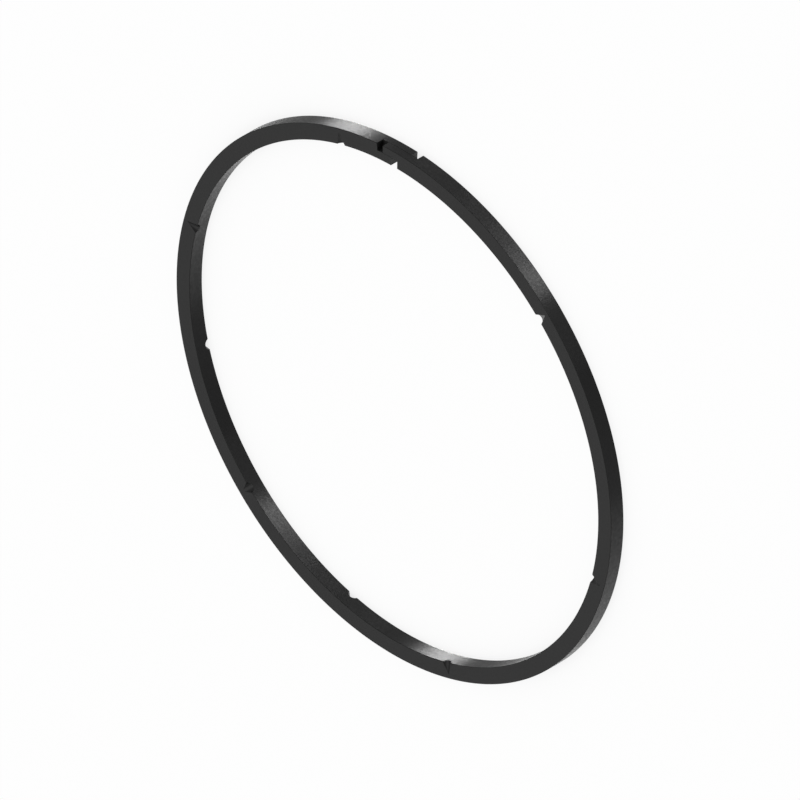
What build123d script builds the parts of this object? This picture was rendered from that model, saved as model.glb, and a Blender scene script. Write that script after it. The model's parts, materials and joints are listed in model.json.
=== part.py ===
from build123d import *
import os
from math import degrees

# Split sealing ring of rectangular section, in millimetres.
# It lies on its back face at Z = 0. Its axis is Z, and the joint in it is centred on +X.
# Angles are seen from above the front face, counter-clockwise from the joint.

# Section of the ring
outer_diameter = 104.0
radial_thickness = 3.15
axial_width = 3.0
edge_break = 0.1

# Step-cut joint
tongue_thickness = 1.45
step_offset = 3.4
bore_side_gap = 1.52
rim_side_gap = 1.43
lap_clearance = 0.05

# Notches in the two edges of the bore
notch_count = 6
notch_start_angle = 15.0
notch_reach = 2.3
notch_half_width = 1.0
notch_depth = 0.83

# How far a cutter runs past the surface that it cuts
overrun = 1.0

outer_radius = outer_diameter / 2
bore_radius = outer_radius - radial_thickness
step_radius = outer_radius - tongue_thickness
mid_plane = axial_width / 2
half_clearance = lap_clearance / 2


def whole_ring():
    # The closed ring: its section with the corners broken, turned about Z.
    section_centre = Pos(bore_radius + radial_thickness / 2, mid_plane)
    section = Rectangle(radial_thickness, axial_width)
    section = chamfer(section.vertices(), edge_break)
    return revolve(Plane.XZ * section_centre * section, Axis.Z)


def ring_sector(radii, heights, angles):
    # A piece of a ring between two radii, two heights and two angles.
    width = radii[1] - radii[0]
    height = heights[1] - heights[0]
    corner = Pos(radii[0], heights[0])
    section = Plane.XZ * corner * Rectangle(width, height, align=(Align.MIN, Align.MIN))
    return Rot(Z=angles[0]) * revolve(section, Axis.Z, angles[1] - angles[0])


def joint_space():
    # What parts the two ends of the ring: an open gap at the bore, an open gap in each half of the rim,
    # one step to either side of it, and the thin slits where the two tongues lap.
    past_bore = bore_radius - overrun
    past_rim = outer_radius + overrun
    below = -overrun
    above = axial_width + overrun
    under_tongue = step_radius - half_clearance
    over_step = step_radius + half_clearance
    low_side = mid_plane - half_clearance
    high_side = mid_plane + half_clearance

    half_bore_gap = degrees(bore_side_gap / bore_radius) / 2
    half_rim_gap = degrees(rim_side_gap / outer_radius) / 2
    step_angle = degrees(step_offset / outer_radius)

    bore_gap = ring_sector((past_bore, over_step), (below, above), (-half_bore_gap, half_bore_gap))
    front_gap = ring_sector(
        (under_tongue, past_rim), (low_side, above), (step_angle - half_rim_gap, step_angle + half_rim_gap)
    )
    back_gap = ring_sector(
        (under_tongue, past_rim), (below, high_side), (-step_angle - half_rim_gap, -step_angle + half_rim_gap)
    )
    front_lap = ring_sector((under_tongue, over_step), (low_side, above), (0, step_angle))
    back_lap = ring_sector((under_tongue, over_step), (below, high_side), (-step_angle, 0))
    side_lap = ring_sector((under_tongue, past_rim), (low_side, high_side), (-step_angle, step_angle))
    return bore_gap + front_gap + back_gap + front_lap + back_lap + side_lap


def notch_cutter():
    # A cone laid along the radius. Its tip is in the front face, and its axis rises towards the bore,
    # so that the groove it leaves is widest and deepest at the bore.
    mouth_radius = (notch_half_width**2 + notch_depth**2) / (2 * notch_depth)
    mouth_centre = Vector(bore_radius, 0, axial_width + mouth_radius - notch_depth)
    tip = Vector(bore_radius + notch_reach, 0, axial_width)
    inward = mouth_centre - tip
    length = inward.length + overrun
    end_radius = mouth_radius * length / inward.length
    cone = Cone(end_radius, 0, length, align=(Align.CENTER, Align.CENTER, Align.MAX))
    return Plane(origin=tip, z_dir=-inward) * cone


def notches():
    # The front face has one set. The back face has the same set, as seen when the ring is turned over
    # about the joint.
    front_set = PolarLocations(0, notch_count, notch_start_angle) * notch_cutter()
    turned_over = Pos(Z=axial_width) * Rot(X=180)
    back_set = [turned_over * cutter for cutter in front_set]
    return front_set + back_set


def sealing_ring():
    ring = whole_ring() - joint_space()
    for cutter in notches():
        ring = ring - cutter
    return ring


os.makedirs("parts", exist_ok=True)
export_step(sealing_ring(), "parts/sealing_ring.step")
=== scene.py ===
import json
from math import cos, pi, radians, sin, tan, tau

import bmesh
import bpy
from mathutils import Matrix, Vector


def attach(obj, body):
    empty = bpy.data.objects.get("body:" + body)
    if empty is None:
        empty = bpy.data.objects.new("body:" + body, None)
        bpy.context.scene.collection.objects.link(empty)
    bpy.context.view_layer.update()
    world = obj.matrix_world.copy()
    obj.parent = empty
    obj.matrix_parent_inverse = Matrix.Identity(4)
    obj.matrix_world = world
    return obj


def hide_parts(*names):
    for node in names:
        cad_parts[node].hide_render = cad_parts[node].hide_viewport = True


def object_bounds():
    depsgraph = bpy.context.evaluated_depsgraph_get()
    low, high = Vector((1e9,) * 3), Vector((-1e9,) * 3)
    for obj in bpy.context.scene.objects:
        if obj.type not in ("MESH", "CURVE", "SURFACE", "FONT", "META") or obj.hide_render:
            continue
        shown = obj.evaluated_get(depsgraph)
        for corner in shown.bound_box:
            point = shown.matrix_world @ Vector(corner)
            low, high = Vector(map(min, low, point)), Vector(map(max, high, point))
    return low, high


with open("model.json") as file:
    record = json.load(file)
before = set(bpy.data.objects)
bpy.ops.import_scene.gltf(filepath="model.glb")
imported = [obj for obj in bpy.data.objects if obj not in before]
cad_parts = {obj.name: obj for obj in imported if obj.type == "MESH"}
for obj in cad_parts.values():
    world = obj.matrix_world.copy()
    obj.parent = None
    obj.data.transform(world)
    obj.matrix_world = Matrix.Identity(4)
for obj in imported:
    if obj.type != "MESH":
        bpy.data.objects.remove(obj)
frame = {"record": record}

# A split sealing ring lying on a white table. Metres, +Z up, the joint in the ring towards +X.

scene = bpy.context.scene
scene.view_settings.view_transform = "Standard"
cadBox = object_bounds()
mm = 0.001


# the camera and the lamps

cameraSettings = {
    "azimuth": radians(-45.185),     # seen from above, counter-clockwise from +X
    "elevation": radians(35.37),
    "roll": radians(-119.87),        # the photograph stands the ring on its rim
    "target": Vector((0, 0, 0.0015)),        # half way up the ring
    "distance": 0.6,
    "orthoScale": 0.135316,          # metres across the picture
}


def direction(azimuth, elevation):
    flat = cos(elevation)
    return Vector((flat * cos(azimuth), flat * sin(azimuth), sin(elevation)))


def makeCamera(settings):
    back = direction(settings["azimuth"], settings["elevation"])
    right = Vector((0, 0, 1)).cross(back).normalized()
    up = back.cross(right)
    turn = Matrix.Rotation(settings["roll"], 3, back)
    right = turn @ right
    up = turn @ up
    data = bpy.data.cameras.new("camera")
    data.type = "ORTHO"
    data.ortho_scale = settings["orthoScale"]
    camera = bpy.data.objects.new("camera", data)
    place = Matrix((right, up, back)).transposed().to_4x4()
    place.translation = settings["target"] + back * settings["distance"]
    camera.matrix_world = place
    scene.collection.objects.link(camera)
    scene.camera = camera


lampSettings = {
    "overheadSize": 2.0,
    "overheadHeight": 2.0,
    "overheadRadiance": 1.7,
    # strips below the table, which is clear to them, show only as gloss on the ring's walls
    "strips": {              # azimuths and elevations of the edges in degrees, distance and radiance
        "edgeGlowLeft": ((-219.7, -199.5), (-43, -27), 4.0, 2.1),
        "glowLeft": ((-199.5, -183.9), (-43, -27), 4.0, 0.85),
        "glowLow": ((-183.9, -160), (-43, -27), 4.0, 1.35),
        "glowLowEnd": ((-160, -126), (-43, -27), 4.0, 1.95),
        "glowFront": ((-66, -40), (-43, -27), 4.0, 2.0),
        "softBand": ((-37.2, -23.4), (-51, -41), 4.0, 66),
        "softBandFade": ((-23.4, -13.8), (-51, -41), 4.0, 36),
        "softBandTail": ((-13.8, -1.6), (-51, -41), 4.0, 18.2),
        "softBandEnd": ((-1.6, 15.6), (-51, -41), 4.0, 8),
        "glowRight": ((10.2, 37), (-43, -27), 4.0, 2.1),
        "brightBand": ((72.0, 96.5), (-47, -41), 1.5, 57),     # near, to part the two walls' bands
        "edgeGlowRight": ((114, 127), (-43, -27), 4.0, 3.3),
    },
}


def makeLamp(name, away, distance, size, radiance):
    # a lamp that looks back at the ring from the direction away
    data = bpy.data.lights.new(name, "AREA")
    data.shape = "RECTANGLE"
    data.size, data.size_y = size
    data.energy = radiance * pi * size[0] * size[1]
    lamp = bpy.data.objects.new(name, data)
    place = away.to_track_quat("Z", "Y").to_matrix().to_4x4()
    place.translation = away * distance
    lamp.matrix_world = place
    lamp.visible_camera = False
    scene.collection.objects.link(lamp)
    return lamp


def makeLamps(settings):
    side = settings["overheadSize"]
    above = Vector((0, 0, 1))
    makeLamp("overhead", above, settings["overheadHeight"], (side, side), settings["overheadRadiance"])
    for name, (azimuths, elevations, distance, radiance) in settings["strips"].items():
        left, right = [radians(angle) for angle in azimuths]
        low, high = [radians(angle) for angle in elevations]
        middle = (low + high) / 2
        width = 2 * distance * cos(middle) * tan((right - left) / 2)
        height = 2 * distance * tan((high - low) / 2)
        away = direction((left + right) / 2, middle)
        strip = makeLamp(name, away, distance, (width, height), radiance)
        strip.visible_diffuse = False


makeCamera(cameraSettings)
makeLamps(lampSettings)
print("camera and lamps made")


# short ways to write nodes

class Wire:
    # a node's output, which takes plain arithmetic
    def __init__(self, tree, socket):
        self.tree = tree
        self.socket = socket

    def maths(self, operation, first, second):
        return self.tree.add("ShaderNodeMath", {"operation": operation}, {0: first, 1: second})

    def __add__(self, other):
        return self.maths("ADD", self, other)

    def __radd__(self, other):
        return self.maths("ADD", other, self)

    def __sub__(self, other):
        return self.maths("SUBTRACT", self, other)

    def __rsub__(self, other):
        return self.maths("SUBTRACT", other, self)

    def __mul__(self, other):
        return self.maths("MULTIPLY", self, other)

    def __rmul__(self, other):
        return self.maths("MULTIPLY", other, self)


class Nodes:
    # the nodes of one material or world
    def __init__(self, owner):
        owner.use_nodes = True
        self.tree = owner.node_tree
        self.tree.nodes.clear()

    def add(self, kind, settings=None, sockets=None, output=0):
        node = self.tree.nodes.new(kind)
        for key, value in (settings or {}).items():
            setattr(node, key, value)
        for key, value in (sockets or {}).items():
            if isinstance(value, Wire):
                self.tree.links.new(value.socket, node.inputs[key])
            else:
                node.inputs[key].default_value = value
        return Wire(self, node.outputs[output]) if node.outputs else None


# the white table and surroundings

tableSettings = {
    "size": 6.0,
    "colour": (0.94, 0.94, 0.94, 1),
    "whitening": 0.8,         # how much of the table is plain white to the camera
    "skyLight": 0.6,          # what lights the ring from all round
}


def seenRays(nodes):
    # 1 for what the camera sees, directly, in gloss or through glass
    path = nodes.add("ShaderNodeLightPath")
    rays = path.socket.node.outputs
    camera, gloss, glass = [
        Wire(nodes, rays[name]) for name in ("Is Camera Ray", "Is Glossy Ray", "Is Transmission Ray")
    ]
    return nodes.add("ShaderNodeClamp", None, {"Value": camera + gloss + glass})


def makeWorld(settings):
    world = bpy.data.worlds.new("surroundings")
    scene.world = world
    nodes = Nodes(world)
    seen = seenRays(nodes)
    strength = settings["skyLight"] + seen * (1 - settings["skyLight"])
    light = nodes.add("ShaderNodeBackground", None, {"Color": (1, 1, 1, 1), "Strength": strength})
    nodes.add("ShaderNodeOutputWorld", None, {"Surface": light})


def makeTable(settings):
    bm = bmesh.new()
    bmesh.ops.create_grid(bm, x_segments=1, y_segments=1, size=settings["size"] / 2)
    mesh = bpy.data.meshes.new("table")
    bm.to_mesh(mesh)
    bm.free()
    material = bpy.data.materials.new("whiteTable")
    nodes = Nodes(material)
    paint = nodes.add("ShaderNodeBsdfDiffuse", None, {"Color": settings["colour"]})
    white = nodes.add("ShaderNodeEmission", None, {"Color": (1, 1, 1, 1), "Strength": 1.0})
    share = seenRays(nodes) * settings["whitening"]
    surface = nodes.add("ShaderNodeMixShader", None, {0: share, 1: paint, 2: white})
    nodes.add("ShaderNodeOutputMaterial", None, {"Surface": surface})
    mesh.materials.append(material)
    table = bpy.data.objects.new("table", mesh)
    scene.collection.objects.link(table)
    table.visible_glossy = False        # the walls of the ring mirror what lies beyond the table
    table.visible_shadow = False        # and the strips below it reach them


makeWorld(tableSettings)
makeTable(tableSettings)
print("table and surroundings made")


# the ring

def mountRadius(name):
    mount = next(item for item in frame["record"]["mounts"] if item["name"] == name)
    return mount["dims"]["r_mm"] * mm


ringSettings = {
    "rimRadius": mountRadius("rim"),
    "boreRadius": mountRadius("bore"),
    "width": cadBox[1].z - cadBox[0].z,
    "edgeRound": 0.1 * mm,
    "roundSegments": 4,
    "steps": 720,                    # two a degree
    "tongueThickness": 1.45 * mm,
    "stepOffset": 3.4 * mm,          # from the gap in the bore to each gap in the rim
    "boreSideGap": 1.52 * mm,
    "rimSideGap": 1.43 * mm,
    "lapClearance": 0.05 * mm,
    "notchCount": 6,
    "notchStart": radians(15),
    "notchReach": 2.3 * mm,
    "notchHalfWidth": 1.0 * mm,
    "notchDepth": 0.83 * mm,
    "notchSides": 48,
    "overrun": 1.0 * mm,             # how far a cutter runs past what it cuts
    "mergeDistance": 0.0005 * mm,    # for the slivers that the cuts leave
    "sharpAngle": radians(32),       # edges that turn more than this stay sharp
    "flatFaceNormal": 0.9,           # a face whose normal stands up more than this is ground
}

# material slots of the ring, in order
finishes = ("turned", "ground", "jointCut", "notchCut")
turned, ground, jointCut, notchCut = range(4)


def newObject(name, bm, materialIndex):
    bmesh.ops.recalc_face_normals(bm, faces=bm.faces)
    for face in bm.faces:
        face.material_index = materialIndex
    mesh = bpy.data.meshes.new(name)
    bm.to_mesh(mesh)
    bm.free()
    thing = bpy.data.objects.new(name, mesh)
    scene.collection.objects.link(thing)
    return thing


def addSection(bm, radii, heights):
    # an upright rectangle over +X, between two radii and two heights
    corners = bmesh.ops.create_grid(bm, x_segments=1, y_segments=1, size=0.5)["verts"]
    bmesh.ops.scale(bm, vec=(radii[1] - radii[0], heights[1] - heights[0], 1), verts=corners)
    bmesh.ops.rotate(bm, matrix=Matrix.Rotation(radians(90), 3, "X"), verts=corners)
    bmesh.ops.translate(bm, vec=(sum(radii) / 2, 0, sum(heights) / 2), verts=corners)
    return corners


def makeClosedRing(settings):
    bm = bmesh.new()
    corners = addSection(bm, (settings["boreRadius"], settings["rimRadius"]), (0, settings["width"]))
    bmesh.ops.bevel(
        bm, geom=corners, offset=settings["edgeRound"], offset_type="OFFSET", affect="VERTICES",
        segments=settings["roundSegments"], profile=0.5, material=-1,
    )
    bmesh.ops.delete(bm, geom=bm.faces[:], context="FACES_ONLY")
    bmesh.ops.spin(
        bm, geom=bm.verts[:] + bm.edges[:], cent=(0, 0, 0), axis=(0, 0, 1), angle=tau,
        steps=settings["steps"], use_merge=True,
    )
    ring = newObject("sealingRing", bm, turned)
    for face in ring.data.polygons:
        if abs(face.normal.z) > settings["flatFaceNormal"]:
            face.material_index = ground
    return ring


def sectorCutter(radii, heights, angles, settings):
    # a stretch of a ring between two radii, two heights and two angles
    bm = bmesh.new()
    corners = addSection(bm, radii, heights)
    bmesh.ops.rotate(bm, matrix=Matrix.Rotation(angles[0], 3, "Z"), verts=corners)
    turn = angles[1] - angles[0]
    steps = max(2, round(turn / tau * settings["steps"]))
    bmesh.ops.spin(
        bm, geom=bm.verts[:] + bm.edges[:] + bm.faces[:], cent=(0, 0, 0), axis=(0, 0, 1),
        angle=turn, steps=steps,
    )
    return newObject("jointCutter", bm, jointCut)


def jointCutters(settings):
    overrun = settings["overrun"]
    slack = settings["lapClearance"] / 2
    step = settings["rimRadius"] - settings["tongueThickness"]
    middle = settings["width"] / 2
    below = -overrun
    above = settings["width"] + overrun
    pastBore = settings["boreRadius"] - overrun
    pastRim = settings["rimRadius"] + overrun
    halfBoreGap = settings["boreSideGap"] / settings["boreRadius"] / 2
    halfRimGap = settings["rimSideGap"] / settings["rimRadius"] / 2
    stepTurn = settings["stepOffset"] / settings["rimRadius"]
    frontGap = (stepTurn - halfRimGap, stepTurn + halfRimGap)
    backGap = (-stepTurn - halfRimGap, -stepTurn + halfRimGap)
    spaces = [
        ((pastBore, step + slack), (below, above), (-halfBoreGap, halfBoreGap)),
        ((step - slack, pastRim), (middle - slack, above), frontGap),
        ((step - slack, pastRim), (below, middle + slack), backGap),
        ((step - slack, step + slack), (middle - slack, above), (0, stepTurn)),
        ((step - slack, step + slack), (below, middle + slack), (-stepTurn, 0)),
        ((step - slack, pastRim), (middle - slack, middle + slack), (-stepTurn, stepTurn)),
    ]
    return [sectorCutter(*space, settings) for space in spaces]


def notchCutters(settings):
    # cones laid along the radius, with their tips in the face and their mouths at the bore
    halfWidth = settings["notchHalfWidth"]
    depth = settings["notchDepth"]
    mouthRadius = (halfWidth ** 2 + depth ** 2) / (2 * depth)
    mouth = Vector((settings["boreRadius"], 0, settings["width"] + mouthRadius - depth))
    tip = Vector((settings["boreRadius"] + settings["notchReach"], 0, settings["width"]))
    inward = mouth - tip
    length = inward.length + settings["overrun"]
    cutters = []
    for turnedOver in (False, True):
        for number in range(settings["notchCount"]):
            bm = bmesh.new()
            bmesh.ops.create_cone(
                bm, cap_ends=True, segments=settings["notchSides"], depth=length,
                radius1=0, radius2=mouthRadius * length / inward.length,
            )
            bmesh.ops.translate(bm, vec=(0, 0, length / 2), verts=bm.verts)
            lay = inward.to_track_quat("Z", "Y").to_matrix()
            bmesh.ops.rotate(bm, matrix=lay, verts=bm.verts)
            bmesh.ops.translate(bm, vec=tip, verts=bm.verts)
            angle = settings["notchStart"] + number * tau / settings["notchCount"]
            bmesh.ops.rotate(bm, matrix=Matrix.Rotation(angle, 3, "Z"), verts=bm.verts)
            if turnedOver:
                bmesh.ops.rotate(bm, matrix=Matrix.Rotation(pi, 3, "X"), verts=bm.verts)
                bmesh.ops.translate(bm, vec=(0, 0, settings["width"]), verts=bm.verts)
            cutters.append(newObject("notchCutter", bm, notchCut))
    return cutters


def evaluated(thing):
    graph = bpy.context.evaluated_depsgraph_get()
    return bpy.data.meshes.new_from_object(thing.evaluated_get(graph), depsgraph=graph)


def cutAway(ring, cutters):
    for cutter in cutters:
        modifier = ring.modifiers.new("cut", "BOOLEAN")
        modifier.operation = "DIFFERENCE"
        modifier.solver = "MANIFOLD"
        modifier.object = cutter
    finished = evaluated(ring)
    ring.modifiers.clear()
    ring.data = finished
    for cutter in cutters:
        bpy.data.objects.remove(cutter)


def mergeSlivers(ring, settings):
    # where a cutter only touches a face or an edge, its cut leaves faces too thin to see
    bm = bmesh.new()
    bm.from_mesh(ring.data)
    bmesh.ops.remove_doubles(bm, verts=bm.verts, dist=settings["mergeDistance"])
    bmesh.ops.dissolve_degenerate(bm, edges=bm.edges, dist=settings["mergeDistance"])
    bm.to_mesh(ring.data)
    bm.free()


def smoothFaces(ring, settings):
    mesh = ring.data
    mesh.shade_smooth()
    mesh.set_sharp_from_angle(angle=settings["sharpAngle"])
    modifier = ring.modifiers.new("flatSides", "WEIGHTED_NORMAL")
    modifier.keep_sharp = True
    finished = evaluated(ring)
    ring.modifiers.clear()
    ring.data = finished


# the mottle takes the base colour from colour to paler, and moves the roughness by mottling
plasticSettings = {
    "grainSize": 0.35 * mm,
    "grainDetail": 1.0,
    "grainContrast": 0.5,
    "mottleSize": 0.45 * mm,
    "mottleDetail": 3.0,
    "mottleContrast": 0.6,
    "sheenTurn": 0.25,               # turns the spread of the sheen across the turning marks
    "turned": {
        "colour": 0.002, "paler": 0.005, "specular": 0.17, "roughness": 0.375, "mottling": 0.3,
        "anisotropic": 1.0, "grainDepth": 0.007 * mm,
    },
    "ground": {
        "colour": 0.006, "paler": 0.01, "specular": 0.179, "roughness": 0.5, "mottling": 0.25,
        "anisotropic": 0.0, "grainDepth": 0.01 * mm,
    },
    "jointCut": {
        "colour": 0.003, "paler": 0.006, "specular": 0.22, "roughness": 0.5, "mottling": 0.25,
        "anisotropic": 0.0, "grainDepth": 0.01 * mm,
    },
    "notchCut": {
        "colour": 0.003, "paler": 0.005, "specular": 0.17, "roughness": 0.32, "mottling": 0.15,
        "anisotropic": 0.0, "grainDepth": 0.01 * mm,
    },
}


def grey(level):
    return (level, level, level, 1)


def plasticMaterial(name, settings):
    finish = settings[name]
    material = bpy.data.materials.new(name + "Plastic")
    nodes = Nodes(material)
    place = nodes.add("ShaderNodeTexCoord", None, None, "Object")
    grain, mottle = [
        nodes.add("ShaderNodeTexNoise", None, {
            "Vector": place,
            "Scale": 1 / settings[noise + "Size"],
            "Detail": settings[noise + "Detail"],
            "Roughness": settings[noise + "Contrast"],
        })
        for noise in ("grain", "mottle")
    ]
    colour = nodes.add(
        "ShaderNodeMix", {"data_type": "RGBA"},
        {"Factor": mottle, "A": grey(finish["colour"]), "B": grey(finish["paler"])}, "Result",
    )
    roughness = finish["roughness"] + (mottle - 0.5) * finish["mottling"]
    bump = nodes.add(
        "ShaderNodeBump", None, {"Strength": 1.0, "Distance": finish["grainDepth"], "Height": grain},
    )
    shader = nodes.add("ShaderNodeBsdfPrincipled", None, {
        "Base Color": colour,
        "Roughness": roughness,
        "Specular IOR Level": finish["specular"],
        "Anisotropic": finish["anisotropic"],
        "Anisotropic Rotation": settings["sheenTurn"],
        "Normal": bump,
    })
    nodes.add("ShaderNodeOutputMaterial", None, {"Surface": shader})
    return material


def makeRing(settings, plastic):
    ring = makeClosedRing(settings)
    for name in finishes:
        ring.data.materials.append(plasticMaterial(name, plastic))
    cutters = jointCutters(settings) + notchCutters(settings)
    for cutter in cutters:
        for material in ring.data.materials:
            cutter.data.materials.append(material)
    cutAway(ring, cutters)
    mergeSlivers(ring, settings)
    smoothFaces(ring, settings)
    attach(ring, "root")
    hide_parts("sealing_ring")
    print("ring made,", len(ring.data.polygons), "faces")


makeRing(ringSettings, plasticSettings)
